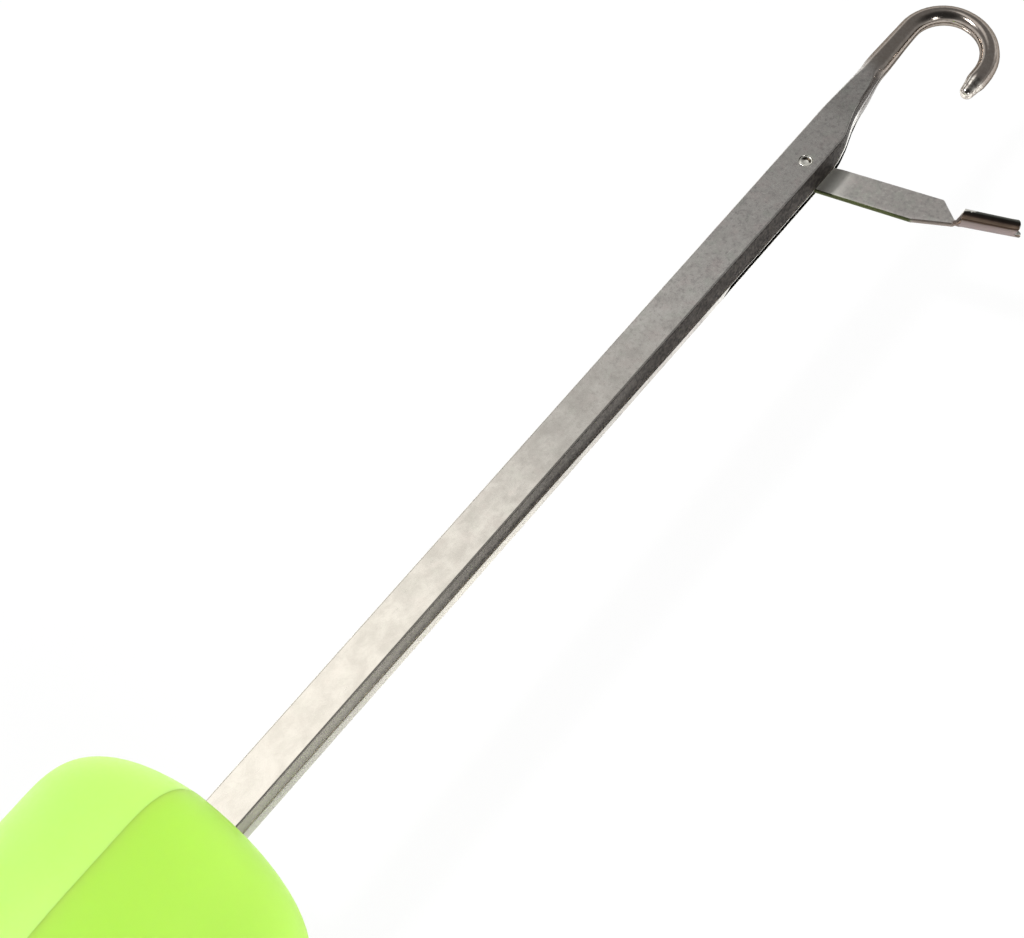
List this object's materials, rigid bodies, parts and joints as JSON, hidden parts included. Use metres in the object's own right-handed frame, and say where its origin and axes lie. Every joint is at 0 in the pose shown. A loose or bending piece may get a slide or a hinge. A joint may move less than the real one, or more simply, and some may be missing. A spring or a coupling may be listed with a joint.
{
  "type": "latch hook tool",
  "caption": "Hand tool for rug making: a green handle, a folded steel shank with a round hook, and a pivoting latch that closes over the hook's point.",
  "frame": {"origin": "centre of the flat face at the handle's butt", "axes": "+Y along the tool toward the hook, +Z the normal of the shank's wide faces, the hook opens toward +X"},
  "size_m": [0.0331, 0.1697, 0.0282],
  "materials": {
    "nickel_shank": "nickel-plated sheet steel, slightly hazy, with fine scratches",
    "nickel_latch": "nickel-plated thin sheet steel",
    "rivet_steel": "bright steel",
    "handle_plastic": "satin moulded plastic, lime green, slightly translucent"
  },
  "bodies": {
    "tool": {"shank": "nickel_shank", "rivet": "rivet_steel", "handle_left": "handle_plastic", "handle_right": "handle_plastic"},
    "latch": {"latch": "nickel_latch"}
  },
  "joints": [
    {"name": "latch_swing", "type": "hinge", "parent": "tool", "child": "latch", "pos_m": [0.00052, 0.1462, 0], "axis": [0, 0, 1], "range_deg": [-91, 51]}
  ]
}
